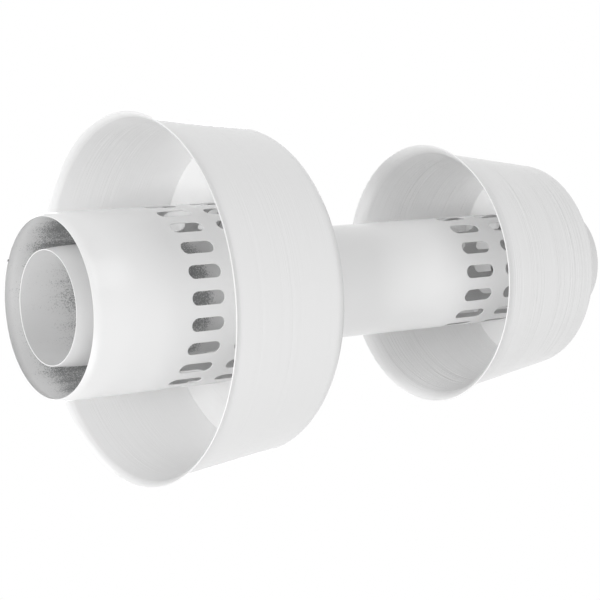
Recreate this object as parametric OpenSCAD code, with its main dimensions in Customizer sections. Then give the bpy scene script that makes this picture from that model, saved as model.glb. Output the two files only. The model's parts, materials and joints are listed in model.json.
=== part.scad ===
// Vertical coaxial flue terminal: an air pipe around a longer flue pipe, each with rows of
// slots that open under a spun bell. Sizes in millimetres. Z runs along the common axis, from
// the pipe end that joins the flue below to the closed end above, and both bells open downwards.

/* [Pipes] */
// Outside diameter of the air pipe
air_pipe_d = 125; // [112:1:140]
// Outside diameter of the flue pipe
flue_pipe_d = 81; // [60:1:92]
// Sheet thickness of both pipes
pipe_wall = 0.7; // [0.5:0.1:1.5]
// Length of the drawn-in stretch at the joining end of each pipe
neck_l = 6.5; // [5:0.5:15]
// Straight land at the very end of the drawn-in stretch
neck_land = 2; // [1:0.5:3]
// How far the air pipe's joining end is drawn in, on the radius
air_neck_in = 2.2; // [0.5:0.1:3]
// How far the flue pipe's joining end is drawn in, on the radius
flue_neck_in = 1.6; // [0.5:0.1:3]
// Length of flue pipe that stands out above the exhaust bell
flue_stub_l = 35; // [25:1:80]
// Width of the flange turned out at the air pipe's upper end
air_flange_w = 8; // [5:0.5:14]

/* [Intake bell] */
// Height of the intake bell's mouth above the pipe end
intake_bell_z = 65.6; // [60:0.1:120]
// Depth of the intake bell, from its mouth to its flat end
intake_bell_depth = 101.8; // [98:0.1:140]
// Outside diameter of the wall at the mouth, without the lip
intake_mouth_d = 247.6; // [238:0.1:280]
// Outside diameter where the wall's slope would meet the flat end
intake_end_d = 224; // [210:1:235]
// Outside radius of the shoulder between wall and flat end
intake_shoulder_r = 15.5; // [5:0.5:20]

/* [Exhaust bell] */
// Height of the exhaust bell's mouth above the pipe end
exhaust_bell_z = 319.3; // [290:0.1:380]
// Depth of the exhaust bell, from its mouth to its flat end
exhaust_bell_depth = 101; // [98:0.1:140]
// Outside diameter of the wall at the mouth, without the lip
exhaust_mouth_d = 182.4; // [172:0.1:220]
// Outside diameter where the wall's slope would meet the flat end
exhaust_end_d = 150.4; // [140:0.1:165]
// Outside radius of the shoulder between wall and flat end
exhaust_shoulder_r = 6.5; // [4:0.5:14]

/* [Bell sheet] */
// Sheet thickness of both bells
bell_wall = 0.8; // [0.6:0.1:1.6]
// How far the intake bell's lip flares out beyond its wall
intake_lip_flare = 4.4; // [2:0.1:7]
// How far the exhaust bell's lip flares out beyond its wall
exhaust_lip_flare = 5; // [2:0.1:7]
// Height of the flared lip
lip_h = 4.6; // [3:0.1:8]
// Height of the collar that grips the flue pipe above each bell
collar_h = 12; // [10:0.5:20]
// Inside radius of the bend at the foot of the collar
collar_bend_r = 2; // [1:0.5:4]

/* [Slots] */
// Width of a slot
slot_w = 9.4; // [5:0.1:11]
// Length of a slot, from end to end
slot_l = 25.2; // [14:0.1:30]
// Distance from one row of slots to the next
slot_pitch = 36.9; // [33:0.1:38]
// Rows of slots in each pipe
slot_rows = 2; // [1:1:2]
// Slots around the air pipe
air_slots = 22; // [10:1:24]
// Slots around the flue pipe
flue_slots = 14; // [8:1:16]
// Height of the first slots above the mouth of the intake bell
intake_slot_rise = 9.2; // [4:0.1:20]
// Height of the first slots above the mouth of the exhaust bell
exhaust_slot_rise = 7.2; // [4:0.1:20]

/* [End cap] */
// Depth of the cap's rim inside the flue pipe
cap_rim_h = 9; // [5:0.5:14]
// Sheet thickness of the cap
cap_wall = 0.8; // [0.6:0.1:1.6]
// Outside radius of the bend round the cap
cap_bend_r = 1.6; // [1:0.1:3]

/* [Rivets] */
// Rivets through each collar
collar_rivets = 3; // [2:1:8]
// Diameter of a rivet's shank
rivet_d = 3.2; // [2.4:0.1:4]
// Diameter of a rivet's domed head
rivet_head_d = 6.4; // [5:0.1:8]
// Height of a rivet's domed head
rivet_head_h = 1.3; // [0.8:0.1:2]
// Diameter of the upset tail inside the flue pipe
rivet_tail_d = 4.8; // [4.2:0.1:6]
// Length of the upset tail
rivet_tail_l = 3; // [2:0.1:5]

/* [Centring spacer] */
// Height of the spacer's lower edge above the pipe end
spacer_z = 44; // [30:1:48]
// Width of the spacer band
spacer_w = 14; // [8:1:18]
// Sheet thickness of the spacer
spacer_t = 0.8; // [0.6:0.1:1.2]
// Legs around the spacer band
spacer_legs = 3; // [3:1:6]
// Width of the foot that bears on the air pipe
spacer_foot_w = 12; // [8:1:16]

/* [Clearances] */
// Radial gap between the flue pipe and what fits over or inside it
fit_gap = 0.1; // [0.05:0.05:0.3]
// Gap between the spacer's feet and the air pipe
foot_gap = 0.2; // [0.1:0.05:0.3]
// Gap around a rivet's shank in its hole
rivet_gap = 0.1; // [0.05:0.05:0.2]

/* [Hidden] */

// Facets of a full circle
round_fn = 160;
small_fn = 48;
// Overshoot of a cut beyond the wall it opens
cut = 2;
white = [0.93, 0.93, 0.92];
bare_metal = [0.70, 0.71, 0.71];

air_r = air_pipe_d / 2;
flue_r = flue_pipe_d / 2;
air_bore_r = air_r - pipe_wall;
flue_bore_r = flue_r - pipe_wall;
intake_end_z = intake_bell_z + intake_bell_depth;
exhaust_end_z = exhaust_bell_z + exhaust_bell_depth;
air_top_z = intake_end_z - bell_wall;
flue_top_z = exhaust_end_z + flue_stub_l;
// Radii of the collars, and the height of their rivets above the bell's flat end
collar_bore_r = flue_r + fit_gap;
collar_r = collar_bore_r + bell_wall;
collar_rivet_rise = collar_bend_r + (collar_h - collar_bend_r) / 2;

// Points of an arc about [cx, cy], from angle a0 to a1
function arc(cx, cy, r, a0, a1, steps = 8) =
    [for (i = [0 : steps]) let (a = a0 + (a1 - a0) * i / steps) [cx + r * cos(a), cy + r * sin(a)]];

// Points of one face of a drawn-in end, from the end up: a land and two equal bends that meet.
// The face lies this far outside the middle of the sheet.
function neck(pipe_r, draw_in, outside) =
    let (
        middle_r = pipe_r - pipe_wall / 2,
        rise = neck_l - neck_land,
        turn = 2 * atan(draw_in / rise),
        bend = rise / (2 * sin(turn)))
    concat(
        [[middle_r - draw_in + outside, 0]],
        arc(middle_r - draw_in + bend, neck_land, bend - outside, 180, 180 - turn, 5),
        arc(middle_r - bend, neck_l, bend + outside, -turn, 0, 5));

// Both faces of a drawn-in end, as the foot of a pipe's section: out and up, then down again inside
function outer_neck(pipe_r, draw_in) = neck(pipe_r, draw_in, pipe_wall / 2);
function inner_neck(pipe_r, draw_in) =
    let (face = neck(pipe_r, draw_in, -pipe_wall / 2))
    [for (i = [len(face) - 1 : -1 : 0]) face[i]];

// One row of upright slots around a pipe, as cutters, with a slot facing -Y
module slot_row(count, pipe_r, foot_z) {
    for (i = [0 : count - 1])
        rotate([0, 0, -90 + i * 360 / count])
            translate([pipe_r - cut - pipe_wall, 0, foot_z + slot_l / 2])
                rotate([90, 0, 90])
                    linear_extrude(height = pipe_wall + 2 * cut)
                        union() {
                            square([slot_w, slot_l - slot_w], center = true);
                            for (side = [-1, 1])
                                translate([0, side * (slot_l - slot_w) / 2])
                                    circle(d = slot_w, $fn = small_fn);
                        }
}

// All rows of slots above one bell's mouth
module slot_rows_from(count, pipe_r, first_z) {
    for (row = [0 : slot_rows - 1])
        slot_row(count, pipe_r, first_z + row * slot_pitch);
}

// A rivet pattern through a collar: whatever is passed in, placed around the axis at one height
module around_collar(end_z) {
    for (i = [0 : collar_rivets - 1])
        rotate([0, 0, i * 360 / collar_rivets])
            translate([0, 0, end_z + collar_rivet_rise])
                rotate([0, 90, 0])
                    children();
}

// Hole for a rivet's shank
module rivet_hole() {
    translate([0, 0, flue_bore_r - cut])
        cylinder(h = collar_r - flue_bore_r + 2 * cut, d = rivet_d + 2 * rivet_gap, $fn = small_fn);
}

// Blind rivet: domed head outside the collar, shank, and upset tail inside the flue pipe
module rivet() {
    // The head's flat underside touches the crown of the collar, and the tail clears the bore
    rotate_extrude($fn = small_fn)
        polygon(concat(
            [[0, tail_top_z - rivet_tail_l]],
            [[rivet_tail_d / 2, tail_top_z - rivet_tail_l], [rivet_tail_d / 2, tail_top_z]],
            [[rivet_d / 2, tail_top_z], [rivet_d / 2, collar_r]],
            [[rivet_head_d / 2, collar_r]],
            dome_points,
            [[0, collar_r + rivet_head_h]]));
}

// Under the tail the bore falls away by this much over the tail's half width
tail_sag = flue_bore_r - sqrt(pow(flue_bore_r, 2) - pow(rivet_tail_d / 2, 2));
tail_top_z = flue_bore_r - tail_sag;
// Sphere that gives the rivet's dome its height over its width
dome_r = (pow(rivet_head_d / 2, 2) + pow(rivet_head_h, 2)) / (2 * rivet_head_h);
dome_a = acos((rivet_head_d / 2) / dome_r);
dome_points = [for (i = [1 : 5]) let (a = dome_a + (90 - dome_a) * i / 6)
    [dome_r * cos(a), collar_r + rivet_head_h - dome_r + dome_r * sin(a)]];

// Air pipe: drawn in at the joining end, slotted under the intake bell, flanged out at the top
module air_pipe() {
    bend = pipe_wall;
    color(white)
        difference() {
            rotate_extrude($fn = round_fn)
                polygon(concat(
                    outer_neck(air_r, air_neck_in),
                    arc(air_r + bend, air_top_z - pipe_wall - bend, bend, 180, 90, 4),
                    [[air_r + air_flange_w, air_top_z - pipe_wall], [air_r + air_flange_w, air_top_z]],
                    arc(air_r + bend, air_top_z - pipe_wall - bend, bend + pipe_wall, 90, 180, 4),
                    inner_neck(air_r, air_neck_in)));
            slot_rows_from(air_slots, air_r, intake_bell_z + intake_slot_rise);
        }
}

// Flue pipe: drawn in at the joining end, slotted under the exhaust bell, open at both ends
module flue_pipe() {
    color(white)
        difference() {
            rotate_extrude($fn = round_fn)
                polygon(concat(
                    outer_neck(flue_r, flue_neck_in),
                    [[flue_r, flue_top_z], [flue_bore_r, flue_top_z]],
                    inner_neck(flue_r, flue_neck_in)));
            slot_rows_from(flue_slots, flue_r, exhaust_bell_z + exhaust_slot_rise);
            around_collar(intake_end_z) rivet_hole();
            around_collar(exhaust_end_z) rivet_hole();
        }
}

// Half section of a spun bell, closed as a polygon. Its outer face runs from the lip over the
// wall, the shoulder and the flat end to the collar, and its inner face comes back one sheet in.
module bell_section(mouth_z, depth, mouth_d, end_d, shoulder_r, lip_flare) {
    slope = atan2((mouth_d - end_d) / 2, depth);
    mouth_r = mouth_d / 2;
    end_r = end_d / 2;
    end_z = mouth_z + depth;
    // Shoulder: an arc tangent to the sloping wall and the flat end
    sx = end_r - shoulder_r * tan((90 - slope) / 2);
    sz = end_z - shoulder_r;
    // Lip: an arc tangent to the wall that curves outwards below this height
    lip_turn = 2 * (atan2(lip_flare, lip_h) - slope);
    lip_r = norm([lip_flare, lip_h]) / (2 * sin(lip_turn / 2));
    lip_cx = mouth_r - lip_h * tan(slope) + lip_r * cos(slope);
    lip_cz = mouth_z + lip_h + lip_r * sin(slope);
    lip_a = 180 + slope;
    collar_cx = collar_r + collar_bend_r;
    collar_cz = end_z + collar_bend_r;
    polygon(concat(
        arc(lip_cx, lip_cz, lip_r, lip_a + lip_turn, lip_a, 6),
        arc(sx, sz, shoulder_r, slope, 90, 10),
        arc(collar_cx, collar_cz, collar_bend_r, 270, 180, 6),
        [[collar_r, end_z + collar_h], [collar_bore_r, end_z + collar_h]],
        arc(collar_cx, collar_cz, collar_bend_r + bell_wall, 180, 270, 6),
        arc(sx, sz, shoulder_r - bell_wall, 90, slope, 10),
        arc(lip_cx, lip_cz, lip_r + bell_wall, lip_a, lip_a + lip_turn, 6)));
}

// Bell spun from one sheet, with a hole for each rivet in its collar
module bell(mouth_z, depth, mouth_d, end_d, shoulder_r, lip_flare) {
    difference() {
        rotate_extrude($fn = round_fn)
            bell_section(mouth_z, depth, mouth_d, end_d, shoulder_r, lip_flare);
        around_collar(mouth_z + depth) rivet_hole();
    }
}

module intake_bell() {
    color(white)
        bell(intake_bell_z, intake_bell_depth, intake_mouth_d, intake_end_d, intake_shoulder_r,
            intake_lip_flare);
}

module exhaust_bell() {
    color(white)
        bell(exhaust_bell_z, exhaust_bell_depth, exhaust_mouth_d, exhaust_end_d, exhaust_shoulder_r,
            exhaust_lip_flare);
}

// Shallow cap pressed into the flue pipe's upper end, flush with its edge
module flue_end_cap() {
    rim_r = flue_bore_r - fit_gap;
    bend_c = [rim_r - cap_bend_r, flue_top_z - cap_bend_r];
    color(white)
        rotate_extrude($fn = round_fn)
            polygon(concat(
                [[0, flue_top_z - cap_wall], [0, flue_top_z]],
                arc(bend_c[0], bend_c[1], cap_bend_r, 90, 0, 5),
                [[rim_r, flue_top_z - cap_rim_h], [rim_r - cap_wall, flue_top_z - cap_rim_h]],
                arc(bend_c[0], bend_c[1], cap_bend_r - cap_wall, 0, 90, 5)));
}

// Ring of spacer sheet about the axis, with this inside radius
module spacer_ring(bore_r) {
    translate([0, 0, spacer_z])
        difference() {
            cylinder(h = spacer_w, r = bore_r + spacer_t, $fn = round_fn);
            translate([0, 0, -cut])
                cylinder(h = spacer_w + 2 * cut, r = bore_r, $fn = round_fn);
        }
}

// Spring band around the flue pipe, with bent legs whose feet bear on the air pipe's bore
module centring_spacer() {
    band_r = flue_r + fit_gap;
    foot_r = air_bore_r - foot_gap;
    // Legs and feet reach half a sheet into what they join
    leg_from = band_r + spacer_t / 2;
    leg_l = foot_r - spacer_t / 2 - leg_from;
    color(bare_metal)
        union() {
            spacer_ring(band_r);
            for (i = [0 : spacer_legs - 1])
                rotate([0, 0, 90 + i * 360 / spacer_legs]) {
                    translate([leg_from, -spacer_t / 2, spacer_z])
                        cube([leg_l, spacer_t, spacer_w]);
                    intersection() {
                        spacer_ring(foot_r - spacer_t);
                        translate([leg_from, -spacer_foot_w / 2, spacer_z - cut])
                            cube([air_r, spacer_foot_w, spacer_w + 2 * cut]);
                    }
                }
        }
}

module intake_collar_rivets() {
    color(white) around_collar(intake_end_z) rivet();
}

module exhaust_collar_rivets() {
    color(white) around_collar(exhaust_end_z) rivet();
}

air_pipe();
flue_pipe();
intake_bell();
exhaust_bell();
flue_end_cap();
centring_spacer();
intake_collar_rivets();
exhaust_collar_rivets();
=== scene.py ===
import json
import math

import bmesh
import bpy
from mathutils import Matrix, Vector


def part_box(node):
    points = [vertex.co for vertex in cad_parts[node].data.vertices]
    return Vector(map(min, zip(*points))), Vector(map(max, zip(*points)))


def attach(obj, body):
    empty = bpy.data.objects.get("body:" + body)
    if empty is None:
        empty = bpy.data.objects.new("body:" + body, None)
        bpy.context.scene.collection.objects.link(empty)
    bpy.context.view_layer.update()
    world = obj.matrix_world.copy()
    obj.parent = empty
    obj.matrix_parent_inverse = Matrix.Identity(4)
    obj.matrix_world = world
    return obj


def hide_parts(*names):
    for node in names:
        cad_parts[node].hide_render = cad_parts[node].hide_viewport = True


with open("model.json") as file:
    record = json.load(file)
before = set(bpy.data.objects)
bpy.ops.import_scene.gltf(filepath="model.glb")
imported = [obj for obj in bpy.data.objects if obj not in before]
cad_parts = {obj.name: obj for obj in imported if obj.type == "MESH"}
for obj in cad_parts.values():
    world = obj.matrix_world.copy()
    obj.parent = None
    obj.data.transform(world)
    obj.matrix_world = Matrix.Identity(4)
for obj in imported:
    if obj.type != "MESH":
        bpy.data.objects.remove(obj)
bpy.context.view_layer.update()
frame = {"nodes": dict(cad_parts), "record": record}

bl_info = {
    "name": "Coaxial Flue Terminal",
    "version": (1, 0, 0),
    "blender": (4, 5, 0),
    "location": "View3D > Sidebar > Flue",
    "description": "Dresses a coaxial flue terminal: slotted pipes, spun bells, coats and studio",
    "category": "Add Mesh",
}

# Millimetres to Blender's metres
MM = 0.001
# Points of a spun shell that lie closer than this are one point
WELD = 0.001 * MM
# Points of neighbouring cells and rings that lie closer than this are one point
SEAM = 0.01 * MM

# Each soft box: its name, its place in metres, its width in metres and its power in watts
LAMPS = (
    ("near key", (0, -2.29, -3.08), 0.9, 48.0),
    ("low key", (1.99, 1.15, -3.08), 0.9, 31.0),
    ("high key", (-1.33, 0.77, -1.09), 1.0, 8.0),
    ("low fill", (2.0, -1.16, -0.42), 2.0, 17.0),
    ("behind", (0, 1.89, 0.8), 1.2, 15.0),
    ("front fill", (-0.6, -0.8, 0.35), 0.6, 1.6),
)

# Where the photograph was taken from, its lens in millimetres, and the directions that are right
# and up in it: from below the joining end, rolled so that the axis lies across the picture
EYE = Vector((-58.86, -1262.6, -681.37)) * MM
LENS = 129.7
PICTURE_RIGHT = Vector((0.064181, -0.57512, 0.815545))
PICTURE_UP = Vector((-0.996921, 0, 0.078455))


def mount_radius(name):
    """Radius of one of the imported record's round mounts, in metres."""
    mount = next(m for m in frame["record"]["mounts"] if m["name"] == name)
    return mount["dims"]["r_mm"] * MM


def linear(hex_colour):
    """An sRGB hex colour as the linear RGBA that shaders take."""
    parts = [int(hex_colour[i:i + 2], 16) / 255 for i in (1, 3, 5)]
    return [c / 12.92 if c <= 0.04045 else ((c + 0.055) / 1.055) ** 2.4 for c in parts] + [1.0]


def angle(name, description, degrees):
    """An angle property: its default is given in degrees and kept in radians."""
    return bpy.props.FloatProperty(
        name=name, description=description, default=math.radians(degrees),
        subtype="ANGLE", unit="ROTATION")


def length(name, description, value_mm):
    """A length property: its default is given in millimetres and kept in metres."""
    return bpy.props.FloatProperty(
        name=name, description=description, default=value_mm * MM,
        precision=5, subtype="DISTANCE", unit="LENGTH")


def count(name, description, value):
    """A whole-number property."""
    return bpy.props.IntProperty(name=name, description=description, default=value, min=1)


def colour(name, description, hex_colour):
    """A colour property: its default is given as sRGB hex and kept linear."""
    return bpy.props.FloatVectorProperty(
        name=name, description=description, default=linear(hex_colour),
        size=4, min=0.0, max=1.0, subtype="COLOR")


class FluePipeSizes(bpy.types.PropertyGroup):
    """Sizes of the rolled and slotted pipes"""

    wall: length("Wall", "Sheet thickness of both pipes", 0.7)
    air_neck_l: length("Air neck length", "Drawn-in stretch of the air pipe's end", 6.5)
    air_neck_in: length("Air neck", "How far the air pipe's end is drawn in", 1.4)
    flue_neck_l: length("Flue neck length", "Drawn-in stretch of the flue pipe's end", 24)
    flue_neck_in: length("Flue neck", "How far the flue pipe's end is drawn in", 1.6)
    slot_w: length("Slot width", "Width of a punched slot", 9.4)
    slot_l: length("Slot length", "Length of a punched slot, end to end", 25.2)
    slot_pitch: length("Row pitch", "From one row of slots to the next", 36.9)
    intake_rise: length("Intake rise", "First slots above the intake bell's mouth", 9.2)
    exhaust_rise: length("Exhaust rise", "First slots above the exhaust bell's mouth", 7.2)
    rows: count("Rows", "Rows of slots in each pipe", 3)
    air_top_slot_l: length("Top air slots", "Length of a slot in the air pipe's top row", 9.8)
    air_slots: count("Air slots", "Slots around the air pipe", 22)
    flue_slots: count("Flue slots", "Slots around the flue pipe", 14)


class FlueBellSizes(bpy.types.PropertyGroup):
    """Sizes of the spun bells"""

    wall: length("Wall", "Sheet thickness of both bells", 0.8)
    lip_turn: angle("Lip turn", "Turn of the lip's edge away from the axis", 56)
    collar_h: length("Collar height", "Height of the collar round the flue pipe", 12)
    collar_gap: length("Collar gap", "Radial gap between collar and flue pipe", 0.1)
    collar_bend_r: length("Collar bend", "Outer radius of the bend at the collar's foot", 2)
    intake_mouth_d: length("Intake mouth", "Wall diameter at the intake bell's mouth", 250)
    intake_end_d: length("Intake end", "Wall diameter at the intake bell's flat end", 224)
    intake_shoulder_r: length("Intake shoulder", "Shoulder radius of the intake bell", 15.5)
    intake_plate: length("Intake plate", "Depth of the inner plate below the flat end", 10)
    exhaust_mouth_d: length("Exhaust mouth", "Wall diameter at the exhaust mouth", 182.4)
    exhaust_end_d: length("Exhaust end", "Wall diameter at the exhaust bell's flat end", 150.4)
    exhaust_shoulder_r: length("Exhaust shoulder", "Shoulder radius of the exhaust bell", 6.5)
    exhaust_plate: length("Exhaust plate", "Depth of the inner plate below the flat end", 3.8)
    plate_gap: length("Plate gap", "Gap round both edges of an inner plate", 0.1)
    intake_steps: count("Intake steps", "Flat stretches round the intake bell", 240)
    exhaust_steps: count("Exhaust steps", "Flat stretches round the exhaust bell", 200)


class FlueFinish(bpy.types.PropertyGroup):
    """Colours of the finishes, and sizes of the edges, the tool marks and the chip"""

    coat: colour("Coat", "White powder coat", "#F5F5F5")
    bare: colour("Bare sheet", "Mill-finish sheet inside the pipes", "#A8A9AA")
    spray: colour("Overspray", "Powder that drifted into the pipes", "#F3F3F3")
    edge: length("Edge", "Rounding of the coated sheet edges", 0.2)
    intake_marks: length("Intake marks", "Depth of the tool marks in the intake bell", 0.7)
    exhaust_marks: length("Exhaust marks", "Depth of the tool marks in the exhaust bell", 1.5)
    stain: colour("Stain", "Sheet under a chip in the coat", "#5A5A5A")
    chip: length("Chip", "Radius of the chip in the coat on the air pipe's rim", 1.2)
    chip_turn: angle("Chip turn", "Where the chip is, from -Y round the rim", 212)


def noise_scale(width_mm):
    """The scale at which a noise texture's largest bumps are about that many millimetres wide."""
    return 1 / (width_mm * MM)


def add_node(tree, kind, inputs=None, **properties):
    """Adds a shader node. inputs maps a socket's name or index to a value or to the output
    socket that feeds it, and the rest are the node's own properties."""
    node = tree.nodes.new(kind)
    for key, value in properties.items():
        setattr(node, key, value)
    for key, value in (inputs or {}).items():
        if isinstance(value, bpy.types.NodeSocket):
            tree.links.new(value, node.inputs[key])
        else:
            node.inputs[key].default_value = value
    return node


def new_tree(name):
    """A material with an empty node tree, and that tree."""
    material = bpy.data.materials.new(name)
    material.use_nodes = True
    material.node_tree.nodes.clear()
    return material, material.node_tree


def around_axis(tree):
    """Object coordinates as height and as radius about Z: the sockets place, z and radius."""
    place = add_node(tree, "ShaderNodeTexCoord").outputs["Object"]
    z = add_node(tree, "ShaderNodeSeparateXYZ", {0: place}).outputs["Z"]
    flat = add_node(tree, "ShaderNodeMapping", {"Vector": place, "Scale": (1, 1, 0)})
    radius = add_node(tree, "ShaderNodeVectorMath", {0: flat.outputs[0]}, operation="LENGTH")
    return place, z, radius.outputs["Value"]


def tool_marks(tree, place, z, radius):
    """Height of the rings that a spinning tool leaves: lines up to 3.6 mm apart that run round
    the bell, fade in and out along each ring, and come in groups about 20 mm wide. They are
    drawn coarser than the real ones, which wouldn't show in the render."""
    along = add_node(tree, "ShaderNodeMath", {0: z, 1: radius}, operation="SUBTRACT").outputs[0]
    axes = add_node(tree, "ShaderNodeSeparateXYZ", {0: place})
    lane = add_node(tree, "ShaderNodeCombineXYZ", {
        "X": axes.outputs["X"], "Y": axes.outputs["Y"], "Z": along})
    # Drawn out fifty times along the ring
    drawn = add_node(tree, "ShaderNodeMapping", {
        "Vector": lane.outputs[0], "Scale": (0.02, 0.02, 1)})
    lines = add_node(tree, "ShaderNodeTexNoise", {
        "Vector": drawn.outputs[0], "Scale": noise_scale(3.5714), "Detail": 4.0, "Roughness": 0.7})
    groups = add_node(tree, "ShaderNodeTexNoise", {
        "Vector": drawn.outputs[0], "Scale": noise_scale(20), "Detail": 1.0})
    share = add_node(tree, "ShaderNodeMapRange", {
        "Value": groups.outputs["Fac"], "From Min": 0.4, "From Max": 0.65,
        "To Min": 0.3, "To Max": 1.5})
    level = add_node(tree, "ShaderNodeMath", {
        0: lines.outputs["Fac"], 1: 0.5}, operation="SUBTRACT")
    return add_node(tree, "ShaderNodeMath", {
        0: level.outputs[0], 1: share.outputs[0]}, operation="MULTIPLY").outputs[0]


def coat_shader(tree, base, groove_height):
    """A smooth hard film that mirrors the lamps softly, with faint orange peel 2.4 mm wide, over
    the tool marks of a spun sheet where groove_height, in metres, isn't 0."""
    place, z, radius = around_axis(tree)
    peel = add_node(tree, "ShaderNodeTexNoise", {
        "Vector": place, "Scale": noise_scale(2.381), "Detail": 1.0})
    bump = add_node(tree, "ShaderNodeBump", {
        "Height": peel.outputs["Fac"], "Strength": 0.05, "Distance": 0.2 * MM})
    if groove_height:
        bump = add_node(tree, "ShaderNodeBump", {
            "Height": tool_marks(tree, place, z, radius), "Normal": bump.outputs["Normal"],
            "Strength": 0.5, "Distance": groove_height})
    return add_node(tree, "ShaderNodeBsdfPrincipled", {
        "Base Color": base, "Roughness": 0.34, "IOR": 1.5, "Coat Weight": 0.35,
        "Coat Roughness": 0.08, "Normal": bump.outputs["Normal"]})


def powder_coat(name, base, groove_height):
    """Polyester powder coat, cured on sheet: gloss white."""
    material, tree = new_tree(name)
    shader = coat_shader(tree, base, groove_height)
    add_node(tree, "ShaderNodeOutputMaterial", {"Surface": shader.outputs["BSDF"]})
    return material


def chipped(tree, place, tint, stain, chip):
    """The tint, with a stain where a small chip was knocked out of the coat. chip is the middle
    of it and its radius in metres."""
    middle, size = chip
    away = add_node(tree, "ShaderNodeVectorMath", {0: place, 1: middle}, operation="DISTANCE")
    gone = add_node(tree, "ShaderNodeMapRange", {
        "Value": away.outputs["Value"], "From Min": size / 2, "From Max": size,
        "To Min": 1.0, "To Max": 0.0})
    return add_node(tree, "ShaderNodeMix", {
        "Factor": gone.outputs[0], 6: tint, 7: stain}, data_type="RGBA").outputs[2]


def chipped_coat(name, coat, stain, chip):
    """Gloss white powder coat of the air pipe, chipped at the rim."""
    material, tree = new_tree(name)
    place, _, _ = around_axis(tree)
    shader = coat_shader(tree, chipped(tree, place, coat, stain, chip), 0)
    add_node(tree, "ShaderNodeOutputMaterial", {"Surface": shader.outputs["BSDF"]})
    return material


def near_openings(tree, z, openings):
    """1 at the heights from low to high of each opening, and 0 from its fade on beyond them.
    openings are (low, high, fade) in metres."""
    near = 0.0
    for low, high, fade in openings:
        half = (high - low) / 2
        offset = add_node(tree, "ShaderNodeMath", {0: z, 1: low + half}, operation="SUBTRACT")
        away = add_node(tree, "ShaderNodeMath", {0: offset.outputs[0]}, operation="ABSOLUTE")
        window = add_node(tree, "ShaderNodeMapRange", {
            "Value": away.outputs[0], "From Min": half, "From Max": half + fade,
            "To Min": 1.0, "To Max": 0.0}, interpolation_type="SMOOTHSTEP")
        near = add_node(tree, "ShaderNodeMath", {0: near, 1: window.outputs[0]},
                        operation="MAXIMUM").outputs[0]
    return near


def oversprayed_shader(tree, bare, spray, openings, stain=None, chip=None):
    """Mill-finish sheet, dusted by powder that drifted in: matt light grey close to the pipes'
    openings, and bare metal between ever fewer specks further in, drawn out along the pipe. The
    real powder is finer, so its specks are drawn 1 mm wide."""
    place, z, _ = around_axis(tree)
    reach = add_node(tree, "ShaderNodeMapRange", {
        "Value": near_openings(tree, z, openings), "To Min": 0.95, "To Max": 1.45})
    specks = add_node(tree, "ShaderNodeTexNoise", {
        "Vector": place, "Scale": noise_scale(1), "Detail": 3.0, "Roughness": 0.7})
    drawn = add_node(tree, "ShaderNodeMapping", {"Vector": place, "Scale": (1, 1, 0.06)})
    drifts = add_node(tree, "ShaderNodeTexNoise", {
        "Vector": drawn.outputs[0], "Scale": noise_scale(6.25), "Detail": 2.0})
    bare_spots = add_node(tree, "ShaderNodeMath", {
        0: specks.outputs["Fac"], 1: 3.0, 2: drifts.outputs["Fac"]}, operation="MULTIPLY_ADD")
    spare = add_node(tree, "ShaderNodeMath", {
        0: bare_spots.outputs[0], 1: -0.5, 2: reach.outputs[0]}, operation="MULTIPLY_ADD")
    dust = add_node(tree, "ShaderNodeMapRange", {
        "Value": spare.outputs[0], "From Min": -0.12, "From Max": 0.22}).outputs[0]
    tint = add_node(tree, "ShaderNodeMix", {
        "Factor": dust, 6: bare, 7: spray}, data_type="RGBA").outputs[2]
    if chip:
        tint = chipped(tree, place, tint, stain, chip)
    metal = add_node(tree, "ShaderNodeMapRange", {"Value": dust, "To Min": 0.4, "To Max": 0.0})
    rough = add_node(tree, "ShaderNodeMapRange", {"Value": dust, "To Min": 0.45, "To Max": 0.7})
    bump = add_node(tree, "ShaderNodeBump", {
        "Height": dust, "Strength": 0.4, "Distance": 0.1 * MM})
    return add_node(tree, "ShaderNodeBsdfPrincipled", {
        "Base Color": tint, "Metallic": metal.outputs[0],
        "Roughness": rough.outputs[0], "Normal": bump.outputs["Normal"]})


def oversprayed_sheet(name, bare, spray, openings, stain=None, chip=None):
    """Mill-finish galvanised sheet inside the pipes, only dusted with powder."""
    material, tree = new_tree(name)
    shader = oversprayed_shader(tree, bare, spray, openings, stain, chip)
    add_node(tree, "ShaderNodeOutputMaterial", {"Surface": shader.outputs["BSDF"]})
    return material


def half_coated_sheet(name, coat, bare, spray, openings, low, thinning, high):
    """Powder coat on the flue pipe, which thins out to dusted sheet where the air pipe kept
    the powder off: from the height low on over the length thinning, up to the height high."""
    material, tree = new_tree(name)
    _, z, _ = around_axis(tree)
    inside = add_node(tree, "ShaderNodeMapRange", {
        "Value": z, "From Min": low, "From Max": low + thinning},
        interpolation_type="SMOOTHSTEP")
    # 1 as far as a millimetre below high, and 0 from high up
    below = add_node(tree, "ShaderNodeMapRange", {
        "Value": z, "From Min": high, "From Max": high - 1 * MM})
    share = add_node(tree, "ShaderNodeMath", {
        0: inside.outputs[0], 1: below.outputs[0]}, operation="MULTIPLY")
    shader = add_node(tree, "ShaderNodeMixShader", {
        0: share.outputs[0], 1: coat_shader(tree, coat, 0).outputs["BSDF"],
        2: oversprayed_shader(tree, bare, spray, openings).outputs["BSDF"]})
    add_node(tree, "ShaderNodeOutputMaterial", {"Surface": shader.outputs[0]})
    return material


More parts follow.
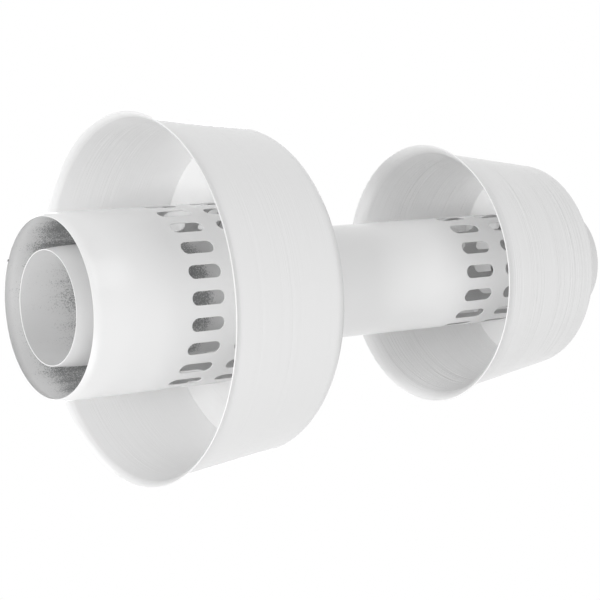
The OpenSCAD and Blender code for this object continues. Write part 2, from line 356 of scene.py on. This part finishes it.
def spring_sheet(name, bare):
    """Cold-rolled spring steel, bare: grey metal with rolling lines 0.4 mm wide along the band."""
    material, tree = new_tree(name)
    place, _, _ = around_axis(tree)
    drawn = add_node(tree, "ShaderNodeMapping", {"Vector": place, "Scale": (0.05, 0.05, 1)})
    lines = add_node(tree, "ShaderNodeTexNoise", {
        "Vector": drawn.outputs[0], "Scale": noise_scale(0.4)})
    bump = add_node(tree, "ShaderNodeBump", {
        "Height": lines.outputs["Fac"], "Strength": 0.2, "Distance": 0.05 * MM})
    rough = add_node(tree, "ShaderNodeMapRange", {
        "Value": lines.outputs["Fac"], "To Min": 0.25, "To Max": 0.45})
    shader = add_node(tree, "ShaderNodeBsdfPrincipled", {
        "Base Color": bare, "Metallic": 1.0, "Roughness": rough.outputs[0],
        "Normal": bump.outputs["Normal"]})
    add_node(tree, "ShaderNodeOutputMaterial", {"Surface": shader.outputs["BSDF"]})
    return material


def finished(bm, name, materials):
    """Makes a smooth-shaded piece of a bmesh, at the origin, and frees the bmesh."""
    for face in bm.faces:
        face.smooth = True
    mesh = bpy.data.meshes.new(name)
    bm.to_mesh(mesh)
    bm.free()
    for material in materials:
        mesh.materials.append(material)
    piece = bpy.data.objects.new(name, mesh)
    bpy.context.scene.collection.objects.link(piece)
    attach(piece, "root")
    return piece


def give_wall(piece, wall, edge, inside_slot=0):
    """Thickens a shell inwards and rounds the cut edges of its sheet."""
    solid = piece.modifiers.new("Wall", "SOLIDIFY")
    solid.thickness = wall
    solid.offset = -1.0
    solid.use_even_offset = True
    solid.use_quality_normals = True
    solid.material_offset = inside_slot
    bevel = piece.modifiers.new("Edge", "BEVEL")
    bevel.width = edge
    bevel.segments = 3
    bevel.limit_method = "ANGLE"
    bevel.angle_limit = math.radians(50)
    bevel.harden_normals = True


def face_outwards(bm):
    """Merges the doubles of an open shell about Z and turns its faces away from the axis."""
    bmesh.ops.remove_doubles(bm, verts=bm.verts, dist=WELD)
    bmesh.ops.recalc_face_normals(bm, faces=bm.faces)
    if sum(f.normal.xy.dot(f.calc_center_median().xy) for f in bm.faces) < 0:
        bmesh.ops.reverse_faces(bm, faces=bm.faces)


def grow_rings(bm, z_from, rings):
    """Extrudes the open ring at height z_from through the given (radius, height) steps."""
    ring = [e for e in bm.edges if e.is_boundary
            and all(abs(v.co.z - z_from) < SEAM for v in e.verts)]
    for radius, z in rings:
        made = bmesh.ops.extrude_edge_only(bm, edges=ring)["geom"]
        ring = [g for g in made if isinstance(g, bmesh.types.BMEdge)]
        verts = [g for g in made if isinstance(g, bmesh.types.BMVert)]
        wide = radius / verts[0].co.xy.length
        bmesh.ops.scale(bm, verts=verts, vec=(wide, wide, 1))
        bmesh.ops.translate(bm, verts=verts, vec=(0, 0, z - verts[0].co.z))


def add_flat_cell(bm, width, height, slot_w, slot_l):
    """Adds one cell of a punched blank, a sheet with an obround slot, flat about the origin."""
    # Segments of the cell's outline across its width and up its height
    across, up = 7, 9
    hole_points = 2 * (across + up)
    hole = bmesh.ops.create_circle(bm, segments=hole_points, radius=slot_w / 2)["verts"]
    bmesh.ops.rotate(bm, verts=hole, matrix=Matrix.Rotation(math.pi / hole_points, 3, "Z"))
    for side in (1, -1):
        bmesh.ops.translate(bm, verts=[v for v in hole if v.co.y * side > 0],
                            vec=(0, side * (slot_l - slot_w) / 2, 0))
    blank = bmesh.ops.create_grid(bm, x_segments=across, y_segments=up, size=0.5)["verts"]
    bmesh.ops.scale(bm, verts=blank, vec=(width, height, 1))
    bmesh.ops.delete(bm, geom=[v for v in blank if not v.is_boundary], context="VERTS")
    # The cells made before are rolled up already and lie higher
    flat = [e for e in bm.edges if all(v.co.z == 0 for v in e.verts)]
    bridge = bmesh.ops.bridge_loops(bm, edges=flat)["edges"]
    bmesh.ops.subdivide_edges(bm, edges=bridge, cuts=2, use_grid_fill=True)


def slotted_tube(radius, first_z, slots, slot_lengths, pipes):
    """Rows of obround slots in a tube wall, one row for each of slot_lengths: a flat cell of the
    punched blank is rolled to the radius and copied round the axis. Returns the bmesh and the
    heights of its foot and its top."""
    bm = bmesh.new()
    web = pipes.slot_pitch - pipes.slot_l
    foot_z = first_z - web / 2
    top_z = foot_z
    for slot_l in slot_lengths:
        height = slot_l + web
        add_flat_cell(bm, math.tau * radius / slots, height, pipes.slot_w, slot_l)
        cell = [f for f in bm.faces if all(v.co.z == 0 for v in f.verts)]
        for v in [v for v in bm.verts if v.co.z == 0]:
            turn = v.co.x / radius
            v.co = (radius * math.sin(turn), -radius * math.cos(turn), top_z + height / 2 + v.co.y)
        bmesh.ops.spin(bm, geom=cell, axis=(0, 0, 1), cent=(0, 0, 0), steps=slots - 1,
                       angle=math.tau * (slots - 1) / slots, use_duplicate=True)
        top_z += height
    bmesh.ops.remove_doubles(bm, verts=bm.verts, dist=SEAM)
    return bm, foot_z, top_z


def drawn_in_end(radius, draw, neck_l):
    """Rings of a joining end from the top down, bending in ever more towards its edge."""
    steps = 8
    return [(radius - draw * (i / steps) ** 2, neck_l * (1 - i / steps))
            for i in range(steps + 1)]


def spun_shell(corners, steps):
    """Spins an outline about Z. corners are (radius, height, rounding) in metres, and each
    corner with a rounding becomes an arc of that radius."""
    bm = bmesh.new()
    verts = [bm.verts.new((r, 0, z)) for r, z, _ in corners]
    for pair in zip(verts, verts[1:]):
        bm.edges.new(pair)
    for v, (_, _, rounding) in list(zip(verts, corners)):
        if rounding:
            a, b = [e.other_vert(v).co - v.co for e in v.link_edges]
            reach = rounding / math.tan(a.angle(b) / 2)
            bmesh.ops.bevel(bm, geom=[v], offset=reach, offset_type="OFFSET", segments=10,
                            profile=0.5, affect="VERTICES", material=-1)
    bmesh.ops.spin(bm, geom=bm.verts[:] + bm.edges[:], axis=(0, 0, 1), cent=(0, 0, 0),
                   angle=math.tau, steps=steps, use_merge=True)
    face_outwards(bm)
    return bm


class FLUE_OT_air_pipe(bpy.types.Operator):
    """Add the slotted air pipe, drawn in below and flanged out above"""

    bl_idname = "flue.air_pipe"
    bl_label = "Air Pipe"

    def execute(self, context):
        pipes, finish = context.scene.flue_pipes, context.scene.flue_finish
        radius = mount_radius("air_spigot")
        first_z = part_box("intake_bell")[0].z + pipes.intake_rise
        lengths = [pipes.slot_l] * (pipes.rows - 1) + [pipes.air_top_slot_l]
        bm, foot_z, top_z = slotted_tube(radius, first_z, pipes.air_slots, lengths, pipes)
        grow_rings(bm, foot_z, drawn_in_end(radius, pipes.air_neck_in, pipes.air_neck_l))
        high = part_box("air_pipe")[1]
        flange_z = high.z - pipes.wall
        bend_r = 2 * pipes.wall
        steps = 6
        bend = [(radius + bend_r * (1 - math.cos(a)), flange_z - bend_r * (1 - math.sin(a)))
                for a in (math.pi / 2 * i / steps for i in range(steps + 1))]
        grow_rings(bm, top_z, bend + [(high.x, flange_z)])
        face_outwards(bm)
        piece = finished(bm, "air_pipe_coated", [
            bpy.data.materials["gloss powder coat chipped at the rim"],
            bpy.data.materials["oversprayed mill sheet of the air pipe"]])
        give_wall(piece, pipes.wall, finish.edge, inside_slot=1)
        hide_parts("air_pipe")
        return {"FINISHED"}


class FLUE_OT_flue_pipe(bpy.types.Operator):
    """Add the slotted flue pipe that runs the whole length"""

    bl_idname = "flue.flue_pipe"
    bl_label = "Flue Pipe"

    def execute(self, context):
        pipes, finish = context.scene.flue_pipes, context.scene.flue_finish
        radius = mount_radius("flue_spigot")
        first_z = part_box("exhaust_bell")[0].z + pipes.exhaust_rise
        lengths = [pipes.slot_l] * pipes.rows
        bm, foot_z, top_z = slotted_tube(radius, first_z, pipes.flue_slots, lengths, pipes)
        grow_rings(bm, foot_z, drawn_in_end(radius, pipes.flue_neck_in, pipes.flue_neck_l))
        grow_rings(bm, top_z, [(radius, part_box("flue_pipe")[1].z)])
        face_outwards(bm)
        piece = finished(bm, "flue_pipe_coated", [
            bpy.data.materials["powder coat thinning out inside the air pipe"],
            bpy.data.materials["oversprayed mill sheet of the flue pipe"]])
        give_wall(piece, pipes.wall, finish.edge, inside_slot=1)
        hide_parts("flue_pipe")
        return {"FINISHED"}


def add_plate(bm, inner_r, outer_r, z, steps):
    """Adds a flat ring about Z to a bell's shell, with its upper face at height z."""
    verts = [bm.verts.new((r, 0, z)) for r in (inner_r, outer_r)]
    edge = bm.edges.new(verts)
    bmesh.ops.spin(bm, geom=verts + [edge], axis=(0, 0, 1), cent=(0, 0, 0),
                   angle=math.tau, steps=steps, use_merge=True)
    bmesh.ops.remove_doubles(bm, verts=bm.verts, dist=WELD)
    ring = [f for f in bm.faces if all(abs(v.co.z - z) < WELD for v in f.verts)]
    bmesh.ops.reverse_faces(bm, faces=[f for f in ring if f.normal.z < 0])


def add_bell(context, node, mouth_d, end_d, shoulder_r, plate_drop, pipe_r, steps):
    """Adds a bell spun from one sheet: lip, sloping wall, shoulder, flat end and collar. A flat
    plate inside it, plate_drop below the flat end, closes the gap round the pipe of radius
    pipe_r."""
    bells, finish = context.scene.flue_bells, context.scene.flue_finish
    low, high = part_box(node)
    collar_r = mount_radius("flue_spigot") + bells.collar_gap + bells.wall
    end_z = high.z - bells.collar_h
    slope = (mouth_d - end_d) / 2 / (end_z - low.z)
    # The lip's edge is cut square to its sheet, so the outer face stops this far above the mouth
    edge_z = bells.wall * math.sin(bells.lip_turn)
    # From the edge up along its own direction to where the sloping wall, carried on, meets it
    reach = (high.x - mouth_d / 2 + edge_z * slope) / (
        math.sin(bells.lip_turn) - math.cos(bells.lip_turn) * slope)
    # The arc stops just short of the edge, so that its ends don't fall on the corners
    arc_share = 0.97
    lip_r = arc_share * reach / math.tan((bells.lip_turn - math.atan(slope)) / 2)
    bm = spun_shell([
        (collar_r, high.z, 0),
        (collar_r, end_z, bells.collar_bend_r),
        (end_d / 2, end_z, shoulder_r),
        (high.x - reach * math.sin(bells.lip_turn),
         low.z + edge_z + reach * math.cos(bells.lip_turn), lip_r),
        (high.x, low.z + edge_z, 0)], steps)
    plate_z = end_z - plate_drop + bells.wall
    # The plate's upper face reaches out to the shoulder's inner face, an arc about this middle
    middle_r = end_d / 2 - shoulder_r * math.tan((math.pi / 2 - math.atan(slope)) / 2)
    middle_z = end_z - shoulder_r
    plate_r = middle_r + math.sqrt((shoulder_r - bells.wall) ** 2 - (plate_z - middle_z) ** 2)
    add_plate(bm, pipe_r + bells.plate_gap, plate_r - bells.plate_gap, plate_z, steps)
    coat = bpy.data.materials["gloss powder coat on the spun " + node.replace("_", " ")]
    piece = finished(bm, node + "_coated", [coat])
    give_wall(piece, bells.wall, finish.edge)
    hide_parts(node)


class FLUE_OT_bells(bpy.types.Operator):
    """Add the intake bell and the exhaust bell"""

    bl_idname = "flue.bells"
    bl_label = "Bells"

    def execute(self, context):
        bells = context.scene.flue_bells
        add_bell(context, "intake_bell", bells.intake_mouth_d, bells.intake_end_d,
                 bells.intake_shoulder_r, bells.intake_plate, mount_radius("air_spigot"),
                 bells.intake_steps)
        add_bell(context, "exhaust_bell", bells.exhaust_mouth_d, bells.exhaust_end_d,
                 bells.exhaust_shoulder_r, bells.exhaust_plate, mount_radius("flue_spigot"),
                 bells.exhaust_steps)
        return {"FINISHED"}


class FLUE_OT_finishes(bpy.types.Operator):
    """Add the materials and give them to the pieces that keep their CAD shape"""

    bl_idname = "flue.finishes"
    bl_label = "Finishes"

    def execute(self, context):
        pipes, finish = context.scene.flue_pipes, context.scene.flue_finish
        coat = powder_coat("gloss powder coat", finish.coat, 0)
        powder_coat("gloss powder coat on the spun intake bell", finish.coat, finish.intake_marks)
        powder_coat("gloss powder coat on the spun exhaust bell", finish.coat,
                    finish.exhaust_marks)
        slotted = pipes.slot_pitch * (pipes.rows - 1) + pipes.slot_l
        intake_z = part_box("intake_bell")[0].z + pipes.intake_rise
        exhaust_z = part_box("exhaust_bell")[0].z + pipes.exhaust_rise
        # Where powder got in: the lowest and highest point of each opening, and the fade beyond
        air_mouth = (0, 3 * MM, 29 * MM)
        flue_mouth = (0, 8 * MM, 62 * MM)
        annulus_mouth = (0, 30 * MM, 40 * MM)
        air_slots = (intake_z, intake_z + slotted, 15 * MM)
        flue_slots = (exhaust_z, exhaust_z + slotted, 40 * MM)
        # Behind the upper rows of air slots the flue pipe is dusted light, behind the lowest row
        # it stays dark bare sheet: real overspray, and also painted light where the upper rows let
        # light in and painted shade behind the lowest row
        upper_rows_dust_and_light = (intake_z + pipes.slot_pitch, intake_z + slotted, 15 * MM)
        rim = mount_radius("air_spigot") - pipes.air_neck_in - pipes.wall / 2
        chip = ((rim * math.sin(finish.chip_turn), -rim * math.cos(finish.chip_turn), 0),
                finish.chip)
        chipped_coat("gloss powder coat chipped at the rim", finish.coat, finish.stain, chip)
        oversprayed_sheet("oversprayed mill sheet of the air pipe", finish.bare, finish.spray,
                          (air_mouth, air_slots), finish.stain, chip)
        oversprayed_sheet("oversprayed mill sheet of the flue pipe", finish.bare, finish.spray,
                          (flue_mouth, flue_slots))
        # The coat runs up the flue pipe's end unthinned this far, then thins out over a length
        coated_end = 8 * MM
        thinning = 30 * MM
        # The dusted window behind the air slots carries painted light and painted shade as well as
        # overspray
        half_coated_sheet("powder coat thinning out inside the air pipe", finish.coat, finish.bare,
                          finish.spray, (annulus_mouth, upper_rows_dust_and_light), coated_end, thinning,
                          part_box("air_pipe")[1].z)
        spring = spring_sheet("bare spring steel", finish.bare)
        for node, material in (("flue_end_cap", coat), ("intake_collar_rivets", coat),
                               ("exhaust_collar_rivets", coat), ("centring_spacer", spring)):
            mesh = frame["nodes"][node].data
            mesh.materials.clear()
            mesh.materials.append(material)
        return {"FINISHED"}


class FLUE_OT_stage(bpy.types.Operator):
    """Add the floor, the soft lamps, the world and the camera"""

    bl_idname = "flue.stage"
    bl_label = "Stage"

    def execute(self, context):
        scene = context.scene
        scene.view_settings.view_transform = "Standard"
        add_world(scene)
        add_floor(scene)
        for lamp in LAMPS:
            add_lamp(scene, *lamp)
        camera = bpy.data.cameras.new("photo view")
        camera.lens = LENS
        eye = bpy.data.objects.new("photo view", camera)
        eye.location = EYE
        axes = Matrix((PICTURE_RIGHT, PICTURE_UP, PICTURE_RIGHT.cross(PICTURE_UP)))
        eye.rotation_euler = axes.transposed().to_euler()
        scene.collection.objects.link(eye)
        scene.camera = eye
        return {"FINISHED"}


def add_world(scene):
    """White to the camera and in reflections, and a plain soft grey light on the object."""
    world = bpy.data.worlds.new("studio")
    scene.world = world
    world.use_nodes = True
    tree = world.node_tree
    tree.nodes.clear()
    path = add_node(tree, "ShaderNodeLightPath")
    seen = path.outputs["Is Camera Ray"]
    for kind in ("Is Glossy Ray", "Is Transmission Ray"):
        seen = add_node(tree, "ShaderNodeMath", {0: seen, 1: path.outputs[kind]},
                        operation="MAXIMUM").outputs[0]
    level = add_node(tree, "ShaderNodeMapRange", {"Value": seen, "To Min": 0.48, "To Max": 1.0})
    light = add_node(tree, "ShaderNodeBackground", {
        "Color": linear("#FFFFFF"), "Strength": level.outputs[0]})
    add_node(tree, "ShaderNodeOutputWorld", {"Surface": light.outputs[0]})


def add_floor(scene):
    """A pale round floor that fades into the white beyond, and that only the camera sees, from
    above: it takes the object's shadow, and blocks neither the view nor the light from below."""
    # The floor's radius, and the radii between which it fades, in metres
    floor_r, fade_from, fade_to = 3.0, 0.7, 2.6
    bm = bmesh.new()
    bmesh.ops.create_circle(bm, cap_ends=True, segments=96, radius=floor_r)
    mesh = bpy.data.meshes.new("floor")
    bm.to_mesh(mesh)
    bm.free()
    material, tree = new_tree("pale studio floor")
    _, _, radius = around_axis(tree)
    fade = add_node(tree, "ShaderNodeMapRange", {
        "Value": radius, "From Min": fade_from, "From Max": fade_to},
        interpolation_type="SMOOTHSTEP")
    back = add_node(tree, "ShaderNodeNewGeometry").outputs["Backfacing"]
    clear = add_node(tree, "ShaderNodeMath", {0: fade.outputs[0], 1: back}, operation="MAXIMUM")
    shader = add_node(tree, "ShaderNodeBsdfDiffuse", {"Color": linear("#F4F4F3")})
    glass = add_node(tree, "ShaderNodeBsdfTransparent")
    mixed = add_node(tree, "ShaderNodeMixShader", {
        0: clear.outputs[0], 1: shader.outputs[0], 2: glass.outputs[0]})
    add_node(tree, "ShaderNodeOutputMaterial", {"Surface": mixed.outputs[0]})
    mesh.materials.append(material)
    floor = bpy.data.objects.new("floor", mesh)
    floor.visible_shadow = False
    floor.visible_diffuse = False
    floor.visible_glossy = False
    floor.visible_transmission = False
    scene.collection.objects.link(floor)


def add_lamp(scene, name, place, size, power):
    """A square soft box aimed at the middle of the object."""
    lamp = bpy.data.lights.new(name, "AREA")
    lamp.shape = "SQUARE"
    lamp.size = size
    lamp.energy = power
    holder = bpy.data.objects.new(name, lamp)
    holder.location = place
    middle = Vector((0, 0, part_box("flue_pipe")[1].z / 2))
    holder.rotation_euler = (middle - Vector(place)).to_track_quat("-Z", "Y").to_euler()
    scene.collection.objects.link(holder)


class FLUE_PT_panel(bpy.types.Panel):
    """Lists the steps that dress the terminal"""

    bl_idname = "FLUE_PT_panel"
    bl_label = "Coaxial Flue Terminal"
    bl_space_type = "VIEW_3D"
    bl_region_type = "UI"
    bl_category = "Flue"

    def draw(self, context):
        for step in STEPS:
            self.layout.operator(step.bl_idname)


GROUPS = {"flue_pipes": FluePipeSizes, "flue_bells": FlueBellSizes, "flue_finish": FlueFinish}
STEPS = (FLUE_OT_finishes, FLUE_OT_air_pipe, FLUE_OT_flue_pipe, FLUE_OT_bells, FLUE_OT_stage)


def register():
    """Registers the classes and gives each scene its sizes and finishes."""
    for made in (*GROUPS.values(), *STEPS, FLUE_PT_panel):
        bpy.utils.register_class(made)
    for name, group in GROUPS.items():
        setattr(bpy.types.Scene, name, bpy.props.PointerProperty(type=group))


def unregister():
    """Undoes what register did, in the opposite order."""
    for name in GROUPS:
        delattr(bpy.types.Scene, name)
    for made in reversed((*GROUPS.values(), *STEPS, FLUE_PT_panel)):
        bpy.utils.unregister_class(made)


def main():
    """Dresses the terminal."""
    register()
    for step in STEPS:
        group, action = step.bl_idname.split(".")
        getattr(getattr(bpy.ops, group), action)()


if __name__ == "__main__":
    main()
